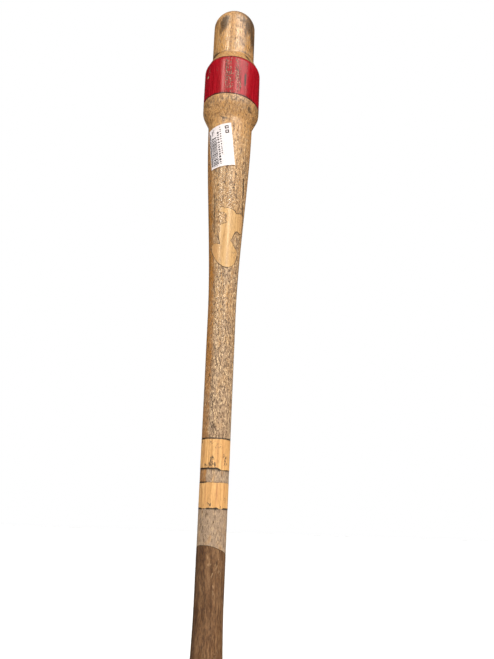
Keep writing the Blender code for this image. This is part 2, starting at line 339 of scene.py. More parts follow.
# Long brown streaks: start, end, half width, strength.
STREAKS = [
    # The first five darken the crease at the nose's foot and just below it: partly dirt in the crease
    # and partly painted shade.
    ((-85, 0.7905), (-40, 0.789), 0.0024, 0.95),
    ((-40, 0.789), (-10, 0.7895), 0.0014, 0.55),
    ((16, 0.7895), (80, 0.79), 0.002, 0.66),
    ((-80, 0.783), (-20, 0.7822), 0.0009, 0.75),
    ((20, 0.7835), (60, 0.784), 0.0009, 0.6),
    ((44, 0.796), (62, 0.792), 0.0009, 0.7),
    ((20, 0.844), (24, 0.82), 0.0006, 0.75),
    ((38, 0.844), (42, 0.813), 0.0007, 0.85),
    ((54, 0.842), (58, 0.806), 0.0008, 0.9),
    ((39, 0.652), (47, 0.625), 0.0009, 0.55),
    ((54, 0.648), (52, 0.608), 0.001, 0.6),
    ((30, 0.662), (36, 0.64), 0.0007, 0.45),
    ((-36, 0.59), (-35, 0.57), 0.001, 0.6),
    ((-60, 0.575), (-58, 0.525), 0.0008, 0.45),
    ((-25, 0.6925), (-10, 0.6885), 0.0006, 0.8),
    ((-24, 0.687), (-14, 0.685), 0.0005, 0.6),
    ((160, 0.65), (158, 0.6), 0.001, 0.45),
]

# Open cracks and cuts: start, end, half width, depth.
CRACKS = [
    ((51, 0.615), (58, 0.588), 0.0013, 0.0003),
    ((58, 0.588), (70, 0.548), 0.001, 0.0003),
    ((31, 0.785), (44, 0.7755), 0.0022, 0.0004),
    ((43, 0.802), (57, 0.796), 0.0003, 0.0003),
    ((-43, 0.595), (-42, 0.536), 0.00035, 0.0003),
    ((-25, 0.6925), (-12, 0.688), 0.00035, 0.0002),
    ((-22, 0.689), (-14, 0.6865), 0.0003, 0.0002),
    ((150, 0.52), (146, 0.46), 0.00035, 0.0004),
    ((-130, 0.79), (-128, 0.812), 0.0003, 0.0003),
    ((-160, 0.39), (-163, 0.33), 0.0003, 0.0003),
]

# Shallow dents: place, half size, depth.
DENTS = [
    ((-82, 0.1552), (0.0018, 0.003), 0.0003),
    ((44, 0.7045), (0.003, 0.0034), 0.0004),
    ((-34, 0.831), (0.0034, 0.006), 0.0002),
    ((62, 0.824), (0.0034, 0.006), 0.0003),
    ((20, 0.66), (0.004, 0.003), 0.00015),
    ((-75, 0.505), (0.0026, 0.004), 0.00025),
    ((30, 0.47), (0.0022, 0.0034), 0.0002),
    ((150, 0.61), (0.0034, 0.005), 0.00035),
    ((-140, 0.48), (0.003, 0.003), 0.0003),
    ((100, 0.21), (0.0022, 0.0034), 0.00025),
    ((-170, 0.745), (0.0034, 0.0034), 0.0003),
    ((0, 0.012), (0.004, 0.003), 0.0003),
    ((130, 0.014), (0.005, 0.003), 0.00035),
]


def wood_relief(azimuth, height, points):
    """How far the worn surface stands off the turned one, in metres."""
    relief = 0.00016 * (fractal(points, (30, 30, 12), 3) - 0.5)
    relief += 0.00005 * (fractal(points, (420, 420, 30), 5) - 0.5)
    for place, size, depth in DENTS:
        relief = relief - depth * blob(azimuth, height, place, size, 0.8)
    for start, end, half_width, depth in CRACKS:
        relief = relief - depth * stroke(azimuth, height, start, end, half_width * 1.4)
    return relief


# Half widths in millimetres of the dirt lines along each strip's edges, by azimuth.
STRIP_DIRT = {
    "upper_clear_strip": {
        "top": [(-180, 0.4), (-78, 0.4), (-66, 1.1), (-45, 0.7), (30, 0.6), (60, 0.8), (180, 0.4)],
        "bottom": [
            (-180, 0.5), (-80, 0.8), (-40, 1.1), (0, 1.3), (20, 1.2), (27, 0.2), (36, 0.3),
            (44, 0.7), (70, 0.6), (180, 0.5),
        ],
    },
    "lower_clear_strip": {
        "top": [
            (-180, 0.3), (-80, 0.7), (-34, 0.7), (-29, 0.12), (50, 0.15), (90, 0.3), (180, 0.3),
        ],
        "bottom": [
            (-180, 0.4), (-80, 0.9), (-55, 0.9), (-48, 0.15), (-30, 0.15), (-25, 0.9), (5, 0.8),
            (12, 1.7), (18, 0.9), (22, 0.2), (36, 0.2), (42, 0.9), (75, 0.9), (180, 0.4),
        ],
    },
}
# How far each strip's lower edge drops on its right side.
STRIP_SAG = {"upper_clear_strip": 0.0014, "lower_clear_strip": 0.0}
STRIP_SEED = {"upper_clear_strip": 201, "lower_clear_strip": 231}


def degrees_round(turn):
    """An angle in radians as degrees from -180 to 180."""
    return np.degrees((turn + math.pi) % math.tau - math.pi)


def wave(turn, seed, size):
    """A small closed wave round the bat, for hand-cut or painted edges."""
    circle = np.stack([np.sin(turn), np.cos(turn), np.zeros_like(turn)], axis=-1)
    return size * 2 * (fractal(circle, (3, 3, 3), seed, 4) - 0.5)


def strip_shift(node, turn):
    """How far a strip's lower and upper edges stray from straight."""
    around = degrees_round(turn)
    right = ramp(around, 4, 24) * (1 - ramp(around, 110, 160))
    seed = STRIP_SEED[node]
    lower = wave(turn, seed, 0.0004) - STRIP_SAG[node] * right
    return lower, wave(turn, seed + 1, 0.00035)


def edge_line(azimuth, away, widths_mm, seed):
    """Dirt caught along an edge: away is the distance from it, widths_mm is (azimuth, half width)."""
    places, widths = zip(*widths_mm)
    here = np.interp(degrees_round(azimuth), places, widths) * MM
    circle = np.stack([np.sin(azimuth), np.cos(azimuth), away * 40], axis=-1)
    here = here * (0.35 + 1.3 * fractal(circle, (9, 9, 9), seed, 3)) + 1e-6
    return 1 - ramp(away, 0.5 * here, 1.4 * here)


def strip_dirt(node, azimuth, height):
    """The dirt lines along both edges of a strip, on it and on the wood beside it."""
    low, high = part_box(node)[0][2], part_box(node)[1][2]
    low_shift, high_shift = strip_shift(node, azimuth)
    widths, seed = STRIP_DIRT[node], STRIP_SEED[node]
    bottom = edge_line(azimuth, np.abs(height - low - low_shift), widths["bottom"], seed + 5)
    top = edge_line(azimuth, np.abs(high + high_shift - height), widths["top"], seed + 9)
    return np.maximum(bottom, top)


def wood_masks(azimuth, height, points):
    """The wear that the wood's material reads, as named values for each vertex."""
    wander = fractal(points, (60, 60, 14), 21)
    turn = degrees_round(azimuth)
    # The varnish has worn off the front and right, and is left on the left and the back.
    border = np.interp(height, [0.228, 0.233, 0.3, 0.45, 0.6, 0.68], [-85, -30, -28, -36, -46, -60])
    place = turn + 22 * (wander - 0.5)
    right = np.interp(height, [0.45, 0.56, 0.61, 0.68], [85, 72, 54, 44])
    bare = ramp(place - border, -9, 7) * (1 - ramp(place, right, right + 30))
    bare = bare * (1 - 0.65 * ramp(height, 0.64, 0.7))
    # Where hands held it, the wood is dirtiest.
    grime = np.interp(
        height,
        [0.0, 0.228, 0.233, 0.36, 0.45, 0.56, 0.63, 0.69, 0.702, 0.718, 0.73, 0.79, 0.85],
        [1.0, 1.5, 0.85, 0.78, 0.58, 0.38, 0.3, 0.12, 0.2, 0.36, 0.26, 0.12, 0.24],
    )
    patches = fractal(points, (95, 95, 30), 31, 4)
    grime = np.clip(grime * (0.3 + 0.7 * bare) + 1.1 * (patches - 0.5), 0, 1.6)
    ragged = fractal(points, (420, 420, 170), 41)
    # Painted shade: the dome is darkened towards its top, all the way round.
    stain_and_shade = 0.9 * ramp(height, 0.847, 0.858) * (0.5 + ragged)
    for spot, size, strength, softness in STAINS:
        mark = blob(azimuth, height, spot, size, softness) * (0.45 + 1.1 * ragged)
        stain_and_shade = np.maximum(stain_and_shade, strength * np.clip(mark, 0, 1))
    for start, end, half_width, strength in STREAKS:
        mark = stroke(azimuth, height, start, end, half_width) * (0.4 + 1.2 * ragged)
        stain_and_shade = np.maximum(stain_and_shade, strength * np.clip(mark, 0, 1))
    crack = np.maximum(
        0.9 * strip_dirt("upper_clear_strip", azimuth, height),
        0.9 * strip_dirt("lower_clear_strip", azimuth, height),
    )
    for start, end, half_width, _ in CRACKS:
        crack = np.maximum(crack, stroke(azimuth, height, start, end, half_width))
    honey = ramp(height, 0.6, 0.69) * (0.5 + 0.8 * fractal(points, (70, 70, 40), 61))
    between = ramp(height, 0.256, 0.259) * (1 - ramp(height, 0.271, 0.274))
    grime = grime + 1.3 * between * bare
    smoother = 1 - 0.65 * ramp(height, 0.06, 0.1) * (1 - ramp(height, 0.23, 0.234))
    pits = (0.15 + 0.85 * np.clip(0.35 * bare + grime, 0, 1)) * smoother * (1 - 0.45 * between)
    gloss = np.interp(
        height,
        [0.2, 0.36, 0.43, 0.56, 0.7, 0.72, 0.8, 0.85],
        [0.1, 0.2, 0.8, 0.9, 0.5, 0.3, 0.9, 0.5],
    )
    gloss = gloss * (0.55 + 0.9 * fractal(points, (130, 130, 60), 51))
    return {
        "bare": bare,
        "grime": grime,
        "stain_and_shade": stain_and_shade,
        "crack": crack,
        "gloss": gloss,
        "honey": honey,
        "pits": pits,
    }


# ---- Mesh helpers ----


def link(obj):
    bpy.context.scene.collection.objects.link(obj)
    return obj


def mesh_object(name, points, faces):
    mesh = bpy.data.meshes.new(name)
    mesh.from_pydata(points.tolist(), [], faces)
    mesh.validate()
    mesh.update()
    return link(bpy.data.objects.new(name, mesh))


def paint(obj, masks):
    for name, values in masks.items():
        layer = obj.data.attributes.new(name, "FLOAT", "POINT")
        layer.data.foreach_set("value", np.asarray(values, np.float32))


def smooth(obj, sharp_angle=40.0):
    obj.data.shade_smooth()
    obj.data.set_sharp_from_angle(angle=math.radians(sharp_angle))


def azimuth_height(points):
    return np.arctan2(points[:, 0], -points[:, 1]), points[:, 2]


def piece(obj, node, slot, *materials):
    """Puts a finished piece in place of a CAD node."""
    for material in materials:
        obj.data.materials.append(material)
    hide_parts(node)
    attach(obj, "root")
    return obj


def ring_faces(rows, segments, wrap_rows=False):
    """Quads between neighbouring rings of vertices, facing out when rows run down the outside."""
    faces = []
    for row in range(rows if wrap_rows else rows - 1):
        above = row * segments
        below = (row + 1) % rows * segments
        for step in range(segments):
            ahead = (step + 1) % segments
            faces.append((above + step, below + step, below + ahead, above + ahead))
    return faces


# ---- The wood ----


def body_rows():
    """The outline's points, all of them where the wood shows and few of them under the skins."""
    rows = OUTLINE[1:-1]
    covered = np.zeros(len(rows), bool)
    for node in ROUND_SKINS:
        low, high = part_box(node)
        covered |= (rows[:, 1] > low[2] + HIDDEN_MARGIN) & (rows[:, 1] < high[2] - HIDDEN_MARGIN)
    kept = ~covered | (np.arange(len(rows)) % HIDDEN_ROW_STEP == 0)
    return rows[kept]


def body_mesh():
    rows = body_rows()
    turn = np.arange(BODY_SEGMENTS) / BODY_SEGMENTS * math.tau
    azimuth, height = np.meshgrid(turn, rows[:, 1])
    radius = np.repeat(rows[:, 0][:, None], BODY_SEGMENTS, axis=1)
    azimuth, height, radius = azimuth.ravel(), height.ravel(), radius.ravel()
    points = np.stack([radius * np.sin(azimuth), -radius * np.cos(azimuth), height], axis=-1)
    relief = wood_relief(azimuth, height, points) * ramp(height, 0.0, 0.0015)
    away = points / np.maximum(radius, 1e-6)[:, None] * np.array([1, 1, 0])
    points = points + away * relief[:, None] * ramp(radius, 0.0, 0.012)[:, None]
    faces = ring_faces(len(rows), BODY_SEGMENTS)
    tip, foot = len(points), len(points) + 1
    last = len(points) - BODY_SEGMENTS
    for step in range(BODY_SEGMENTS):
        ahead = (step + 1) % BODY_SEGMENTS
        faces.append((tip, step, ahead))
        faces.append((foot, last + ahead, last + step))
    poles = np.array([(0.0, 0.0, OUTLINE[0, 1]), (0.0, 0.0, 0.0)])
    return mesh_object("bat_wood", np.vstack([points, poles]), faces)


# ---- Skins that go all the way round ----


def skin_rows(low, high):
    """Heights from high to low, closer together near both ends."""
    near = np.arange(0, SKIN_EDGE_ZONE, SKIN_EDGE_ROW)
    middle = np.arange(SKIN_EDGE_ZONE, (high - low) - SKIN_EDGE_ZONE, SKIN_ROW)
    far = (high - low) - near[::-1]
    return high - np.concatenate([near, middle, far])


def sleeve_mesh(name, low, high, lift, edge_shift):
    """A thin closed sleeve. edge_shift gives how far its ends move at each azimuth."""
    turn = np.arange(SKIN_SEGMENTS) / SKIN_SEGMENTS * math.tau
    rows = skin_rows(low, high)
    low_shift, high_shift = edge_shift(turn)
    share = (rows - low) / (high - low)
    height = rows[:, None] + share[:, None] * high_shift + (1 - share[:, None]) * low_shift
    azimuth = np.repeat(turn[None, :], len(rows), axis=0)
    rim = np.minimum(rows - low, high - rows) / (3 * lift)
    drop = np.where(rim < 1, (1 - rim) ** 2, 0.0)[:, None] * lift * 1.6
    flat = np.broadcast_to(lift - drop, height.shape)
    points = on_bat(azimuth.ravel(), height.ravel(), flat.ravel())
    relief = wood_relief(azimuth.ravel(), height.ravel(), points)
    away = points / np.hypot(points[:, 0], points[:, 1])[:, None] * np.array([1, 1, 0])
    outer = points + away * relief[:, None]
    inner = np.unique(np.append(np.arange(0, len(rows), SLEEVE_INNER_STEP), len(rows) - 1))[::-1]
    under = on_bat(azimuth[inner].ravel(), height[inner].ravel(), -SKIN_SINK)
    everything = np.vstack([outer, under])
    faces = ring_faces(len(rows) + len(inner), SKIN_SEGMENTS, True)
    return mesh_object(name, everything, faces)


# ---- Sheets that are stuck on ----


def curved_outline(points_mm, steps):
    """A closed smooth line through the points, in metres."""
    points = np.array(points_mm) * MM
    found = []
    count = len(points)
    for index in range(count):
        p0, p1 = points[index - 1], points[index]
        p2, p3 = points[(index + 1) % count], points[(index + 2) % count]
        for step in range(steps):
            t = step / steps
            found.append(
                0.5
                * (
                    2 * p1
                    + (p2 - p0) * t
                    + (2 * p0 - 5 * p1 + 4 * p2 - p3) * t**2
                    + (3 * p1 - p0 - 3 * p2 + p3) * t**3
                )
            )
    return np.array(found)


def wrap(flat, middle, azimuth, tilt, lift):
    """Flat (girth, rise) points bent round the bat about (azimuth, middle height)."""
    turn = math.radians(tilt)
    along = flat[:, 0] * math.cos(turn) - flat[:, 1] * math.sin(turn)
    up = flat[:, 0] * math.sin(turn) + flat[:, 1] * math.cos(turn)
    angle = math.radians(azimuth) + along / surface_radius(middle)
    return on_bat(angle, middle + up, lift)


def decal_sheet(outline, middle):
    """The film: its outline filled, cut into a fine grid, wrapped and given thickness."""
    cage = bmesh.new()
    ring = [cage.verts.new((x, y, 0)) for x, y in outline]
    cage.faces.new(ring)
    low, high = outline.min(axis=0), outline.max(axis=0)
    for axis in (0, 1):
        count = int((high[axis] - low[axis]) / FILM_GRID)
        normal = (1, 0, 0) if axis == 0 else (0, 1, 0)
        for step in range(1, count):
            place = [0, 0, 0]
            place[axis] = low[axis] + (high[axis] - low[axis]) * step / count
            geometry = cage.verts[:] + cage.edges[:] + cage.faces[:]
            bmesh.ops.bisect_plane(cage, geom=geometry, plane_co=place, plane_no=normal)
    bmesh.ops.triangulate(cage, faces=[f for f in cage.faces if len(f.verts) > 4])
    cage.normal_update()
    if sum(f.normal.z for f in cage.faces) < 0:
        bmesh.ops.reverse_faces(cage, faces=cage.faces)
    flat = np.array([vert.co[:2] for vert in cage.verts])
    places = wrap(flat, middle, 0, 0, FILM_LIFT)
    for vert, place in zip(cage.verts, places):
        vert.co = place
    mesh = bpy.data.meshes.new("decal_sheet")
    cage.to_mesh(mesh)
    cage.free()
    obj = link(bpy.data.objects.new("decal_sheet", mesh))
    thicken(obj, FILM_THICKNESS)
    return obj


def thicken(obj, thickness):
    """Solidifies inwards and applies it."""
    solid = obj.modifiers.new("thickness", "SOLIDIFY")
    solid.thickness = thickness
    solid.offset = -1
    graph = bpy.context.evaluated_depsgraph_get()
    mesh = bpy.data.meshes.new_from_object(obj.evaluated_get(graph))
    obj.modifiers.clear()
    obj.data = mesh


def decal_dirt(outline, middle):
    """The dirt bead that grew along the film's edge, thick in some stretches and thin in others."""
    places = wrap(outline, middle, 0, 0, DIRT_LIFT)
    curve = bpy.data.curves.new("decal_dirt", "CURVE")
    curve.dimensions = "3D"
    curve.bevel_depth = DIRT_RADIUS
    curve.bevel_resolution = 2
    spline = curve.splines.new("POLY")
    spline.points.add(len(places) - 1)
    spline.use_cyclic_u = True
    widths = 0.45 + 1.0 * ramp(fractal(places, (160, 160, 160), 71), 0.3, 0.7)
    for point, place, width in zip(spline.points, places, widths):
        point.co = (*place, 1)
        point.radius = width
    drawn = link(bpy.data.objects.new("decal_dirt_curve", curve))
    graph = bpy.context.evaluated_depsgraph_get()
    mesh = bpy.data.meshes.new_from_object(drawn.evaluated_get(graph))
    bpy.data.objects.remove(drawn, do_unlink=True)
    return link(bpy.data.objects.new("decal_dirt", mesh))


# ---- The label ----


def marks_along(length, marks, gaps, seed):
    """Start and end of each printed mark along a line, in whole cells."""
    rng = np.random.default_rng(seed)
    place, found = 0.0, []
    while place < length:
        wide = rng.choice(marks) * LABEL_CELL
        found.append((place, min(place + wide, length)))
        place += wide + rng.choice(gaps) * LABEL_CELL
    return found


# Printed columns: left, right, top, bottom, mark lengths and gaps in cells, random seed.
LABEL_COLUMNS = [
    (0.0038, 0.0123, 0.0145, 0.054, (3, 4, 5), (2, 3), 5),
    (0.0008, 0.0034, 0.006, 0.053, (2, 4, 5), (1, 1), 6),
    (0.006, 0.0074, 0.004, 0.012, (3, 4), (1, 1), 7),
    (0.0086, 0.0096, 0.003, 0.008, (2, 3), (1, 2), 10),
    (0.0132, 0.0158, 0.0085, 0.053, (4, 6, 8), (4, 6), 8),
    (0.0172, 0.0187, 0.0025, 0.041, (3, 5), (4, 6), 9),
]
LABEL_BLOCK_TOPS = (0.003, 0.009)
# Each printed block and the hollow in it: left, right, and top and bottom below the block's top.
LABEL_BLOCK = (0.024, 0.0288, 0.0, 0.0044)
LABEL_HOLLOW = (0.0255, 0.0275, 0.0014, 0.003)


def printed(across, down):
    """True where the label carries ink: plain bars, dashes and blocks, with no letters in them."""
    ink = np.zeros(across.shape, bool)
    for left, right, top, bottom, marks, gaps, seed in LABEL_COLUMNS:
        column = (across >= left) & (across < right)
        for start, end in marks_along(bottom - top, marks, gaps, seed):
            ink |= column & (down >= top + start) & (down < top + end)
    for top in LABEL_BLOCK_TOPS:
        block, hollow = (
            (across > left) & (across < right) & (down > top + start) & (down < top + end)
            for left, right, start, end in (LABEL_BLOCK, LABEL_HOLLOW)
        )
        ink |= block & ~hollow
    return ink


def label_mesh(middle):
    columns = round(LABEL_WIDTH / LABEL_CELL)
    rows = round(LABEL_LENGTH / LABEL_CELL)
    across = np.linspace(0, LABEL_WIDTH, columns + 1)
    down = np.linspace(0, LABEL_LENGTH, rows + 1)
    grid_x, grid_y = np.meshgrid(across, down)
    flat = np.stack(
        [grid_x.ravel() - LABEL_WIDTH / 2, LABEL_LENGTH / 2 - grid_y.ravel()], axis=-1
    )
    # The paper lifts a little along its lower edge and at two corners.
    to_bottom = LABEL_LENGTH - grid_y.ravel()
    to_right = LABEL_WIDTH - grid_x.ravel()
    curl = 0.00035 * (1 - ramp(to_bottom, 0, 0.0035))
    curl += 0.0007 * (1 - ramp(np.hypot(to_bottom, to_right), 0, 0.008))
    curl += 0.0004 * (1 - ramp(np.hypot(grid_y.ravel(), to_right), 0, 0.006))
    base = wrap(flat, middle, LABEL_AZIMUTH, LABEL_TILT, 0.0)
    crinkle = 0.0001 * (fractal(base, (180, 180, 90), 81) - 0.5)
    places = wrap(flat, middle, LABEL_AZIMUTH, LABEL_TILT, LABEL_LIFT + curl + crinkle)
    faces, inked = [], []
    ink = printed(*np.meshgrid((across[1:] + across[:-1]) / 2, (down[1:] + down[:-1]) / 2))
    for row in range(rows):
        for column in range(columns):
            corner = row * (columns + 1) + column
            beneath = corner + columns + 1
            faces.append((corner, beneath, beneath + 1, corner + 1))
            inked.append(int(ink[row, column]))
    obj = mesh_object("price_label_paper", places, faces)
    obj.data.polygons.foreach_set("material_index", inked)
    return obj


# ---- Materials ----


class Nodes:
    """Short names for making a material's nodes."""

    def __init__(self, name):
        self.material = bpy.data.materials.new(name)
        self.material.use_nodes = True
        self.tree = self.material.node_tree
        self.shader = self.tree.nodes["Principled BSDF"]
        self.place = self.add("ShaderNodeTexCoord").outputs["Object"]

    def add(self, kind, **settings):
        node = self.tree.nodes.new(kind)
        for name, value in settings.items():
            setattr(node, name, value)
        return node

    def put(self, value, socket):
        if isinstance(value, bpy.types.NodeSocket):
            self.tree.links.new(value, socket)
        elif isinstance(value, tuple) and len(value) == 3 and socket.type == "RGBA":
            socket.default_value = (*value, 1.0)
        else:
            socket.default_value = value

    def math(self, operation, first, second=0.0, third=0.0, clamp=False):
        node = self.add("ShaderNodeMath", operation=operation, use_clamp=clamp)
        for socket, value in zip(node.inputs, (first, second, third)):
            self.put(value, socket)
        return node.outputs[0]

    def times(self, first, second):
        return self.math("MULTIPLY", first, second)

    def stretched(self, along, vector=None):
        """The object's place, or another vector, scaled along the bat's axis."""
        node = self.add("ShaderNodeMapping")
        self.put(self.place if vector is None else vector, node.inputs["Vector"])
        node.inputs["Scale"].default_value = (1.0, 1.0, along)
        return node.outputs[0]

    def noise(self, vector, scale, detail=3.0, rough=0.55):
        node = self.add("ShaderNodeTexNoise")
        self.put(vector, node.inputs["Vector"])
        node.inputs["Scale"].default_value = scale
        node.inputs["Detail"].default_value = detail
        node.inputs["Roughness"].default_value = rough
        return node.outputs["Fac"]

    def between(self, value, low, high, to_low=0.0, to_high=1.0):
        node = self.add("ShaderNodeMapRange", interpolation_type="SMOOTHSTEP")
        self.put(value, node.inputs["Value"])
        for name, number in (
            ("From Min", low),
            ("From Max", high),
            ("To Min", to_low),
            ("To Max", to_high),
        ):
            node.inputs[name].default_value = number
        return node.outputs["Result"]

    def mix(self, share, first, second, blend="MIX"):
        node = self.add("ShaderNodeMix", data_type="RGBA", blend_type=blend)
        self.put(share, node.inputs["Factor"])
        self.put(first, node.inputs["A"])
        self.put(second, node.inputs["B"])
        return node.outputs["Result"]

    def mask(self, name):
        return self.add("ShaderNodeAttribute", attribute_name=name).outputs["Fac"]

    def ragged(self, name, noise, spread):
        """A mask with its edge broken up by noise."""
        return self.math("ADD", self.mask(name), self.between(noise, 0.3, 0.7, -spread, spread))

    def bump(self, height, distance, below=None):
        node = self.add("ShaderNodeBump")
        node.inputs["Distance"].default_value = distance
        self.put(height, node.inputs["Height"])
        if below is not None:
            self.put(below, node.inputs["Normal"])
        return node.outputs["Normal"]


def grain(n):
    """The wood's own pattern, which runs through every skin.

    Gives soft fibre, fine fibre, ring lines and open pores, each from 0 to 1.
    """
    bend = n.add("ShaderNodeVectorMath", operation="MULTIPLY_ADD")
    wander = n.add("ShaderNodeTexNoise")
    n.put(n.stretched(0.35), wander.inputs["Vector"])
    wander.inputs["Scale"].default_value = 14.0
    wander.inputs["Detail"].default_value = 2.0
    n.put(wander.outputs["Color"], bend.inputs[0])
    bend.inputs[1].default_value = (0.01, 0.01, 0.0)
    n.put(n.place, bend.inputs[2])
    bent = bend.outputs[0]
    fibre = n.noise(n.stretched(0.055, bent), 560.0, 5.0, 0.7)
    fine = n.noise(n.stretched(0.14, bent), 1150.0, 3.0, 0.65)
    # Growth rings about a pith line that lies well outside the bat.
    flat = n.add("ShaderNodeMapping")
    n.put(bent, flat.inputs["Vector"])
    flat.inputs["Location"].default_value = (0.085, 0.115, 0.0)
    flat.inputs["Scale"].default_value = (1.0, 1.0, 0.0)
    length = n.add("ShaderNodeVectorMath", operation="LENGTH")
    n.put(flat.outputs[0], length.inputs[0])
    ring = n.math("SINE", n.times(length.outputs["Value"], 1500.0))
    lines = n.between(ring, 0.35, 1.0)
    pore_noise = n.noise(n.stretched(0.22, bent), 900.0, 3.0, 0.58)
    open_pores = n.between(pore_noise, 0.55, 0.605)
    near = n.between(ring, -0.5, 0.9, 0.45, 1.0)
    pores = n.times(open_pores, near)
    return fibre, fine, lines, pores


def finish_surface(n, colour, roughness, normal, specular=0.35, coat=0.0, coat_roughness=0.25):
    n.put(colour, n.shader.inputs["Base Color"])
    n.put(roughness, n.shader.inputs["Roughness"])
    n.put(normal, n.shader.inputs["Normal"])
    n.shader.inputs["Specular IOR Level"].default_value = specular
    n.shader.inputs["Coat Weight"].default_value = coat
    n.shader.inputs["Coat Roughness"].default_value = coat_roughness
    return n.material


def wood_material(name, pale, tan, line, honey, varnish, grey, dark):
    n = Nodes(name)
    fibre, fine, lines, pores = grain(n)
    colour = n.mix(n.between(fibre, 0.36, 0.64), tan, pale)
    colour = n.mix(n.times(n.mask("honey"), 0.7), colour, honey)
    colour = n.mix(n.times(lines, 0.4), colour, line)
    kept = n.math("SUBTRACT", 1.0, n.mask("bare"), clamp=True)
    turned = n.times(kept, n.between(n.mask("honey"), 0.0, 1.0, 0.9, 0.5))
    colour = n.mix(turned, colour, varnish)
    colour = n.mix(n.between(fine, 0.47, 0.6, 0.0, 0.74), colour, line)
    blotch = n.noise(n.stretched(0.3), 170.0, 5.0, 0.74)
    mottle = n.noise(n.stretched(0.45), 620.0, 4.0, 0.7)
    flecks = n.noise(n.stretched(0.4), 680.0, 3.0, 0.64)
    dirty = n.times(n.mask("grime"), n.between(blotch, 0.27, 0.54))
    colour = n.mix(n.times(dirty, 0.85), colour, grey)
    # Scraped wood shows pale flecks, and dirt sits in the hollows between them.
    worn = n.times(n.mask("pits"), n.between(flecks, 0.53, 0.61))
    colour = n.mix(n.times(worn, 0.85), colour, (0.7, 0.49, 0.28))
    hollow = n.times(n.mask("pits"), n.between(mottle, 0.52, 0.6))
    colour = n.mix(n.times(hollow, 0.95), colour, dark)
    colour = n.mix(n.times(pores, 0.8), colour, (0.085, 0.04, 0.017))
    # The stain mask holds real stains, and also painted shade on the dome's top and along the crease at
    # the nose's foot.
    ragged = n.ragged("stain_and_shade", mottle, 0.26)
    stained = n.between(ragged, 0.12, 0.95, 0.0, 0.88)
    stained = n.times(stained, n.between(n.mask("stain_and_shade"), 0.0, 0.25))
    colour = n.mix(stained, colour, (0.058, 0.031, 0.015))
    colour = n.mix(n.mask("crack"), colour, (0.014, 0.009, 0.007))
    rough = n.math("MULTIPLY_ADD", n.mask("gloss"), -0.44, 0.62)
    rough = n.math("MULTIPLY_ADD", pores, 0.15, rough)
    rough = n.math("ADD", rough, n.between(mottle, 0.35, 0.65, -0.06, 0.12), clamp=True)
    height = n.math("MULTIPLY_ADD", pores, -0.8, n.times(fibre, 0.5))
    height = n.math("MULTIPLY_ADD", hollow, -0.5, height)
    relief = n.bump(height, 0.00022)
    return finish_surface(n, colour, rough, n.bump(blotch, 0.00022, relief), 0.45)


def paint_material():
    n = Nodes("crimson_paint")
    fibre, fine, _, _ = grain(n)
    crimson, bright = (0.215, 0.0022, 0.007), (0.35, 0.0045, 0.013)
    colour = n.mix(n.between(fibre, 0.32, 0.68), crimson, bright)
    colour = n.mix(n.between(fine, 0.44, 0.7, 0.0, 0.45), colour, (0.095, 0.0012, 0.004))
    # Pink where the band is rubbed, with a painted highlight line and painted sheen down its front.
    colour = n.mix(n.times(n.mask("rub_and_sheen"), 0.42), colour, (0.37, 0.05, 0.06))
    speckle = n.noise(n.stretched(0.6), 820.0, 3.0, 0.66)
    tone = n.noise(n.stretched(0.5), 820.0, 2.0, 0.5)
    worn = n.ragged("scuff", speckle, 0.5)
    worn = n.between(worn, 0.52, 0.74, 0.0, 0.92)
    bare = n.mix(n.between(tone, 0.5, 0.62), (0.05, 0.038, 0.03), (0.36, 0.24, 0.17))
    colour = n.mix(worn, colour, bare)
    colour = n.mix(n.mask("chip"), colour, (0.4, 0.33, 0.21))
    smear = n.ragged("stain_and_shade", speckle, 0.4)
    colour = n.mix(n.between(smear, 0.4, 0.8, 0.0, 0.9), colour, (0.03, 0.014, 0.012))
    edge = n.ragged("edge", speckle, 0.3)
    colour = n.mix(n.between(edge, 0.35, 0.75, 0.0, 0.92), colour, (0.04, 0.012, 0.012))
    rough = n.math("MULTIPLY_ADD", worn, 0.3, n.between(fibre, 0.3, 0.7, 0.2, 0.32), clamp=True)
    height = n.math("MULTIPLY_ADD", worn, -0.7, n.times(fibre, 0.6))
    return finish_surface(n, colour, rough, n.bump(height, 0.00018), 0.18)


def film_material(name, pale, tan, line, roughness, coat):
    """Wood seen through a clear amber film, with dirt along the film's edge."""
    n = Nodes(name)
    fibre, fine, lines, pores = grain(n)
    colour = n.mix(n.between(fibre, 0.34, 0.66), tan, pale)
    colour = n.mix(n.times(lines, 0.35), colour, line)
    colour = n.mix(n.between(fine, 0.46, 0.7, 0.0, 0.42), colour, line)
    # The tint mask darkens towards deep amber: streaks in the strips, and painted shade on the decal's
    # sides.
    colour = n.mix(n.times(n.mask("tint_and_shade"), 0.6), colour, (0.36, 0.125, 0.04))
    colour = n.mix(n.times(pores, 0.26), colour, (0.14, 0.065, 0.022))
    speckle = n.noise(n.stretched(0.5), 620.0, 3.0, 0.62)
    grit = n.ragged("stain_and_shade", speckle, 0.45)
    marked = n.between(n.mask("stain_and_shade"), 0.0, 0.2)
    grit = n.times(n.between(grit, 0.42, 0.78, 0.0, 0.85), marked)
    colour = n.mix(grit, colour, (0.055, 0.036, 0.024))
    edge = n.ragged("edge", speckle, 0.25)
    colour = n.mix(n.between(edge, 0.32, 0.6, 0.0, 0.97), colour, (0.012, 0.01, 0.009))
    rough = n.between(speckle, 0.3, 0.7, roughness, roughness + 0.14)
    height = n.math("MULTIPLY_ADD", n.mask("edge"), 0.8, n.times(fibre, 0.5))
    return finish_surface(n, colour, rough, n.bump(height, 0.00014), 0.42, coat, 0.2)


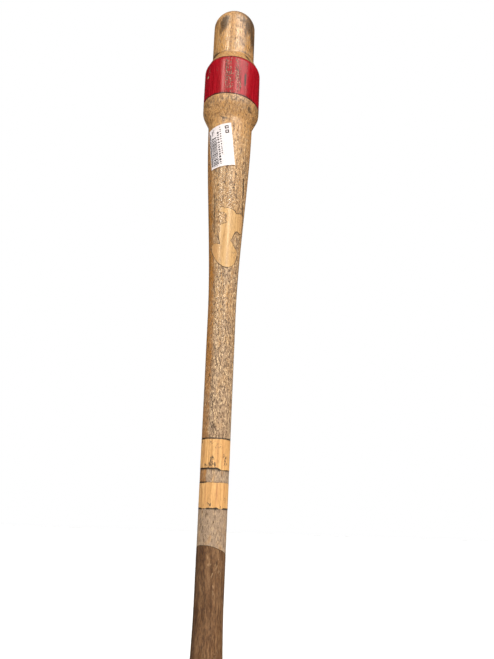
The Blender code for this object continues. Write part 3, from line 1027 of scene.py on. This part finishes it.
def grip_material():
    n = Nodes("hand_darkened_coat")
    fibre, fine, lines, pores = grain(n)
    short = n.noise(n.stretched(0.2), 620.0, 4.0, 0.68)
    colour = n.mix(n.between(fibre, 0.34, 0.68), (0.12, 0.05, 0.016), (0.212, 0.103, 0.04))
    colour = n.mix(n.between(short, 0.5, 0.64, 0.0, 0.45), colour, (0.29, 0.16, 0.072))
    colour = n.mix(n.between(short, 0.36, 0.5, 0.6, 0.0), colour, (0.06, 0.024, 0.008))
    colour = n.mix(n.times(lines, 0.35), colour, (0.045, 0.016, 0.005))
    blotch = n.noise(n.stretched(0.25), 140.0, 5.0, 0.72)
    colour = n.mix(n.between(blotch, 0.42, 0.66, 0.0, 0.5), colour, (0.24, 0.125, 0.055))
    colour = n.mix(n.between(fine, 0.47, 0.63, 0.0, 0.62), colour, (0.055, 0.022, 0.008))
    colour = n.mix(n.times(n.mask("dark"), 0.55), colour, (0.036, 0.012, 0.004))
    speckle = n.noise(n.stretched(0.4), 760.0, 3.0, 0.62)
    pale = n.ragged("pale", speckle, 0.45)
    colour = n.mix(n.between(pale, 0.46, 0.76, 0.0, 0.72), colour, (0.34, 0.205, 0.1))
    colour = n.mix(n.times(pores, 0.55), colour, (0.022, 0.009, 0.004))
    edge = n.ragged("edge", speckle, 0.2)
    colour = n.mix(n.between(edge, 0.3, 0.7, 0.0, 0.9), colour, (0.022, 0.01, 0.006))
    rough = n.between(blotch, 0.3, 0.7, 0.48, 0.66)
    height = n.math("MULTIPLY_ADD", pores, -0.7, n.times(fibre, 0.6))
    return finish_surface(n, colour, rough, n.bump(height, 0.00022), 0.32)


def paper_material():
    n = Nodes("label_paper")
    fibre = n.noise(n.place, 2400.0, 3.0, 0.6)
    cloud = n.noise(n.place, 130.0, 3.0, 0.5)
    colour = n.mix(n.between(fibre, 0.3, 0.7), (0.63, 0.57, 0.592), (0.7, 0.648, 0.668))
    colour = n.mix(n.between(cloud, 0.45, 0.72, 0.0, 0.4), colour, (0.75, 0.65, 0.665))
    rough = n.between(fibre, 0.3, 0.7, 0.5, 0.64)
    return finish_surface(n, colour, rough, n.bump(fibre, 0.00003), 0.35)


def ink_material():
    n = Nodes("label_ink")
    fade = n.noise(n.place, 900.0, 3.0, 0.6)
    colour = n.mix(n.between(fade, 0.4, 0.7), (0.014, 0.012, 0.015), (0.07, 0.062, 0.07))
    rough = n.between(fade, 0.3, 0.7, 0.5, 0.65)
    return finish_surface(n, colour, rough, n.bump(fade, 0.00002), 0.35)


def dirt_material():
    n = Nodes("edge_dirt")
    lump = n.noise(n.place, 1500.0, 3.0, 0.6)
    colour = n.mix(n.between(lump, 0.35, 0.65), (0.045, 0.027, 0.014), (0.13, 0.08, 0.042))
    rough = n.between(lump, 0.3, 0.7, 0.55, 0.75)
    return finish_surface(n, colour, rough, n.bump(lump, 0.00006), 0.35)


# ---- The pieces ----


def points_of(obj):
    points = np.empty(len(obj.data.vertices) * 3, np.float32)
    obj.data.vertices.foreach_get("co", points)
    return points.reshape(-1, 3).astype(float)


def make_wood():
    obj = body_mesh()
    points = points_of(obj)
    azimuth, height = azimuth_height(points)
    paint(obj, wood_masks(azimuth, height, points))
    smooth(obj)
    material = wood_material(
        "worn_wood",
        pale=(0.59, 0.365, 0.17),
        tan=(0.4, 0.215, 0.085),
        line=(0.215, 0.098, 0.032),
        honey=(0.6, 0.335, 0.122),
        varnish=(0.365, 0.145, 0.02),
        grey=(0.31, 0.213, 0.14),
        dark=(0.12, 0.067, 0.034),
    )
    return piece(obj, "bat_body", "turned_wood", material)


def strongest(azimuth, height, marks):
    """The strongest of some soft spots: ((azimuth, height), half size, strength)."""
    found = np.zeros_like(height)
    for spot, size, strength in marks:
        found = np.maximum(found, strength * blob(azimuth, height, spot, size, 0.7))
    return found


# Where the band is rubbed, where a painted highlight and painted sheen lie on it, and where it is
# scuffed to the wood: place, half size, strength.
BAND_RUB_AND_SHEEN = [
    # The narrow mark at -19 degrees is a painted highlight line, and the three wide marks beside it are
    # painted sheen over rubbed paint.
    ((-19, 0.747), (0.0016, 0.044), 1.0),
    ((-9, 0.747), (0.006, 0.044), 0.62),
    ((5, 0.747), (0.006, 0.044), 0.72),
    ((18, 0.747), (0.006, 0.04), 0.4),
    ((-8, 0.773), (0.012, 0.004), 0.45),
    ((40, 0.768), (0.006, 0.005), 0.3),
    ((160, 0.748), (0.01, 0.03), 0.5),
]
BAND_SCUFF = [
    ((-13, 0.749), (0.0016, 0.033), 0.7),
    ((-9, 0.748), (0.0014, 0.033), 0.68),
    ((-4, 0.744), (0.0016, 0.033), 0.66),
    ((1, 0.736), (0.0012, 0.016), 0.52),
    ((7, 0.754), (0.0013, 0.022), 0.7),
    ((11, 0.744), (0.0015, 0.026), 0.72),
    ((16, 0.737), (0.0016, 0.018), 0.72),
    ((-8, 0.7215), (0.008, 0.002), 0.55),
    ((-56, 0.76), (0.0016, 0.007), 0.6),
    ((-34, 0.756), (0.0016, 0.004), 0.45),
    ((30, 0.765), (0.0012, 0.004), 0.45),
    ((-170, 0.745), (0.005, 0.007), 0.62),
    ((100, 0.75), (0.004, 0.016), 0.5),
]


def make_band():
    low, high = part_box("red_band")[0][2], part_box("red_band")[1][2]

    def shift(turn):
        # The edges were painted a little out of square.
        lower = wave(turn, 101, 0.00025) - 0.003 * np.sin(turn)
        return lower, wave(turn, 102, 0.0002) - 0.0018 * np.sin(turn)

    obj = sleeve_mesh("red_band_paint", low, high, PAINT_LIFT, shift)
    azimuth, height = azimuth_height(points_of(obj))
    # Rubbed paint, with a painted highlight line and painted sheen down the front.
    rub_and_sheen = strongest(azimuth, height, BAND_RUB_AND_SHEEN)
    scuff = strongest(azimuth, height, BAND_SCUFF)
    chip = blob(azimuth, height, (-60, 0.7525), (0.0018, 0.0013), 0.35)
    chip = np.maximum(chip, blob(azimuth, height, (120, 0.73), (0.0018, 0.0014), 0.35))
    stain_and_shade = 1.1 * blob(azimuth, height, (27, 0.742), (0.0015, 0.0095), 0.5)
    stain_and_shade = np.maximum(stain_and_shade, stroke(azimuth, height, (39, 0.7225), (50, 0.717), 0.0007))
    low_shift, high_shift = shift(azimuth)
    widths = [(-180, 1.2), (-60, 1.6), (-20, 2.2), (20, 2.1), (60, 2.2), (180, 1.2)]
    bottom = edge_line(azimuth, np.abs(height - low - low_shift), widths, 111)
    top = edge_line(azimuth, np.abs(high + high_shift - height), widths, 118)
    edge = np.maximum(bottom, top)
    paint(obj, {"rub_and_sheen": rub_and_sheen, "scuff": scuff, "chip": chip, "stain_and_shade": stain_and_shade, "edge": edge})
    smooth(obj)
    return piece(obj, "red_band", "red_paint", paint_material())


def make_strip(node, marks, material):
    low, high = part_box(node)[0][2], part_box(node)[1][2]
    obj = sleeve_mesh(node + "_film", low, high, STRIP_LIFT, lambda turn: strip_shift(node, turn))
    azimuth, height = azimuth_height(points_of(obj))
    masks = {
        "edge": strip_dirt(node, azimuth, height),
        "stain_and_shade": strongest(azimuth, height, marks["stain_and_shade"]),
        "tint_and_shade": strongest(azimuth, height, marks["tint_and_shade"]),
    }
    paint(obj, masks)
    smooth(obj)
    return piece(obj, node, "clear_strip", material)


UPPER_STRIP_MARKS = {
    "stain_and_shade": [
        ((-36, 0.275), (0.003, 0.003), 0.66),
        ((-20, 0.2765), (0.003, 0.004), 0.72),
        ((-14, 0.281), (0.0024, 0.0036), 0.6),
        ((-4, 0.2755), (0.0026, 0.003), 0.66),
        ((-66, 0.3), (0.002, 0.0024), 0.8),
        ((40, 0.283), (0.0034, 0.005), 0.52),
        ((48, 0.277), (0.003, 0.0036), 0.48),
        ((-16, 0.2985), (0.006, 0.002), 0.4),
        ((10, 0.296), (0.005, 0.004), 0.28),
    ],
    "tint_and_shade": [
        ((6, 0.29), (0.0014, 0.012), 0.4),
        ((-50, 0.288), (0.0012, 0.011), 0.5),
        ((32, 0.288), (0.0012, 0.011), 0.45),
        ((170, 0.285), (0.003, 0.012), 0.6),
    ],
}
LOWER_STRIP_MARKS = {
    "stain_and_shade": [
        ((-16, 0.235), (0.0028, 0.003), 0.6),
        ((26, 0.235), (0.0018, 0.0024), 0.55),
        ((50, 0.24), (0.003, 0.004), 0.4),
        ((-150, 0.24), (0.003, 0.004), 0.5),
    ],
    "tint_and_shade": [
        ((12, 0.247), (0.001, 0.011), 1.0),
        ((-34, 0.244), (0.0008, 0.012), 0.8),
        ((-56, 0.244), (0.001, 0.012), 0.45),
        ((44, 0.25), (0.0008, 0.009), 0.7),
    ],
}


def make_strips():
    pale, tan, line = (0.7, 0.405, 0.16), (0.545, 0.28, 0.092), (0.35, 0.16, 0.046)
    material = film_material("amber_strip", pale, tan, line, 0.4, 0.08)
    make_strip("upper_clear_strip", UPPER_STRIP_MARKS, material)
    make_strip("lower_clear_strip", LOWER_STRIP_MARKS, material)


# Where the coat has worn pale: place, half size, strength.
GRIP_PALE = [
    ((-5, 0.1768), (0.002, 0.0026), 0.66),
    ((14, 0.153), (0.0009, 0.007), 0.68),
    ((-12, 0.186), (0.0016, 0.005), 0.45),
    ((8, 0.166), (0.0016, 0.006), 0.45),
]


def make_grip():
    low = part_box("grip_coat")[0][2]
    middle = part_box("grip_coat")[1][2] - COAT_EDGE_RISE

    def shift(turn):
        rise = COAT_EDGE_RISE * np.cos(turn - math.radians(COAT_HIGH_SIDE))
        return 0.0003 * np.sin(2 * turn), wave(turn, 301, 0.0004) + rise

    obj = sleeve_mesh("grip_coat_skin", low, middle, COAT_LIFT, shift)
    points = points_of(obj)
    azimuth, height = azimuth_height(points)
    pale = strongest(azimuth, height, GRIP_PALE)
    pale = np.maximum(pale, 0.34 * ramp(fractal(points, (90, 90, 40), 311), 0.5, 0.75))
    turn = degrees_round(azimuth)
    dark = np.maximum(0.9 * (1 - ramp(turn, -72, -40)), 0.5 * (1 - ramp(height, 0.03, 0.06)))
    top = middle + shift(azimuth)[1]
    edge = 0.75 * (1 - ramp(top - height, 0.0003, 0.001))
    paint(obj, {"pale": pale, "dark": dark, "edge": edge})
    smooth(obj)
    return piece(obj, "grip_coat", "dark_grip", grip_material())


def make_decal():
    low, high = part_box("decal_film")
    middle = (low[2] + high[2]) / 2
    outline = curved_outline(DECAL_OUTLINE_MM, 4)
    sheet = decal_sheet(outline, middle)
    azimuth, height = azimuth_height(points_of(sheet))
    turn = np.degrees(azimuth)
    # Painted shade: the film is darkened low down on its left side and towards its right side.
    lobe = (1 - ramp(turn, -34, -12)) * (1 - ramp(height, 0.52, 0.54))
    masks = {
        "edge": np.zeros_like(height),
        "stain_and_shade": strongest(azimuth, height, [((36, 0.515), (0.004, 0.008), 0.3)]),
        "tint_and_shade": np.maximum(0.45 * lobe, 0.35 * ramp(turn, 30, 60)),
    }
    paint(sheet, masks)
    smooth(sheet)
    pale, tan, line = (0.56, 0.345, 0.15), (0.48, 0.28, 0.112), (0.36, 0.195, 0.072)
    material = film_material("decal_varnish", pale, tan, line, 0.3, 0.1)
    piece(sheet, "decal_film", "decal_varnish", material)
    dirt = decal_dirt(outline, middle)
    dirt.data.materials.append(dirt_material())
    smooth(dirt)
    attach(dirt, "root")


def make_label():
    low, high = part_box("price_label")
    label = label_mesh((low[2] + high[2]) / 2)
    thicken(label, LABEL_THICKNESS)
    smooth(label)
    piece(label, "price_label", "label_paper", paper_material(), ink_material())


# ---- Stage ----


def make_floor():
    n = Nodes("pale_floor")
    soft = n.noise(n.place, 3.0, 2.0, 0.5)
    colour = n.mix(n.between(soft, 0.3, 0.7), (0.9, 0.93, 0.97), (0.92, 0.95, 0.98))
    n.put(colour, n.shader.inputs["Base Color"])
    n.shader.inputs["Roughness"].default_value = 0.9
    half = FLOOR_SIZE / 2
    corners = np.array([(-half, -half, 0), (half, -half, 0), (half, half, 0), (-half, half, 0)])
    floor = mesh_object("floor", corners, [(0, 1, 2, 3)])
    floor.data.materials.append(n.material)
    floor.visible_glossy = False


def make_world():
    """Even soft light, dimmer in reflections, and plain white where the camera sees it."""
    world = bpy.data.worlds.new("studio")
    world.use_nodes = True
    tree = world.node_tree
    path = tree.nodes.new("ShaderNodeLightPath")
    seen = tree.nodes["Background"]
    seen.inputs["Color"].default_value = WORLD_COLOUR
    seen.inputs["Strength"].default_value = WORLD_LIGHT
    for kind, strength in (("Is Glossy Ray", WORLD_IN_GLOSS), ("Is Camera Ray", 1.0)):
        other = tree.nodes.new("ShaderNodeBackground")
        other.inputs["Color"].default_value = WHITE
        other.inputs["Strength"].default_value = strength
        choose = tree.nodes.new("ShaderNodeMixShader")
        tree.links.new(path.outputs[kind], choose.inputs["Fac"])
        tree.links.new(seen.outputs[0], choose.inputs[1])
        tree.links.new(other.outputs[0], choose.inputs[2])
        seen = choose
    tree.links.new(seen.outputs[0], tree.nodes["World Output"].inputs["Surface"])
    bpy.context.scene.world = world


def aim(obj, azimuth, elevation, distance, target):
    """Places a lamp on a sphere round the target and turns it to face it."""
    turn, rise = math.radians(azimuth), math.radians(elevation)
    away = np.array([math.sin(turn) * math.cos(rise), -math.cos(turn) * math.cos(rise), math.sin(rise)])
    obj.location = np.array(target) + away * distance
    obj.rotation_euler = (math.pi / 2 - rise, 0, turn)


def make_sun(name, energy, colour, angle, azimuth, elevation):
    sun = bpy.data.lights.new(name, "SUN")
    sun.energy = energy
    sun.color = colour
    sun.angle = math.radians(angle)
    lamp = link(bpy.data.objects.new(name, sun))
    aim(lamp, azimuth, elevation, SUN_DISTANCE, SUN_TARGET)
    return lamp


def make_lights():
    make_sun("soft_sun", SUN_ENERGY, SUN_COLOUR, SUN_ANGLE, 42, 46)
    top = make_sun("top_fill", TOP_FILL_ENERGY, (1.0, 1.0, 1.0), TOP_FILL_ANGLE, 0, 88)
    top.visible_glossy = False
    for name, (azimuth, width, power) in LAMPS.items():
        strip = bpy.data.lights.new(name, "AREA")
        strip.shape = "RECTANGLE"
        strip.size = width
        strip.size_y = LAMP_HEIGHT
        strip.energy = power
        strip.color = LAMP_COLOUR
        lamp = link(bpy.data.objects.new(name, strip))
        lamp.visible_glossy = "glint" in name
        lamp.visible_diffuse = "fill" in name
        aim(lamp, azimuth, LAMP_ELEVATION, LAMP_DISTANCE, LAMP_TARGET)


def make_camera():
    lens = bpy.data.cameras.new("camera")
    lens.lens = CAMERA_LENS_MM
    lens.sensor_width = CAMERA_SENSOR_MM
    lens.clip_end = 200.0
    camera = link(bpy.data.objects.new("camera", lens))
    turn = (
        Matrix.Rotation(math.radians(CAMERA_YAW), 4, "Z")
        @ Matrix.Rotation(math.radians(90 + CAMERA_PITCH), 4, "X")
        @ Matrix.Rotation(math.radians(CAMERA_ROLL), 4, "Z")
    )
    camera.matrix_world = Matrix.Translation(CAMERA_PLACE) @ turn
    bpy.context.scene.camera = camera


make_wood()
make_band()
make_strips()
make_grip()
make_decal()
make_label()
make_floor()
make_world()
make_lights()
make_camera()
bpy.context.scene.view_settings.view_transform = "Standard"
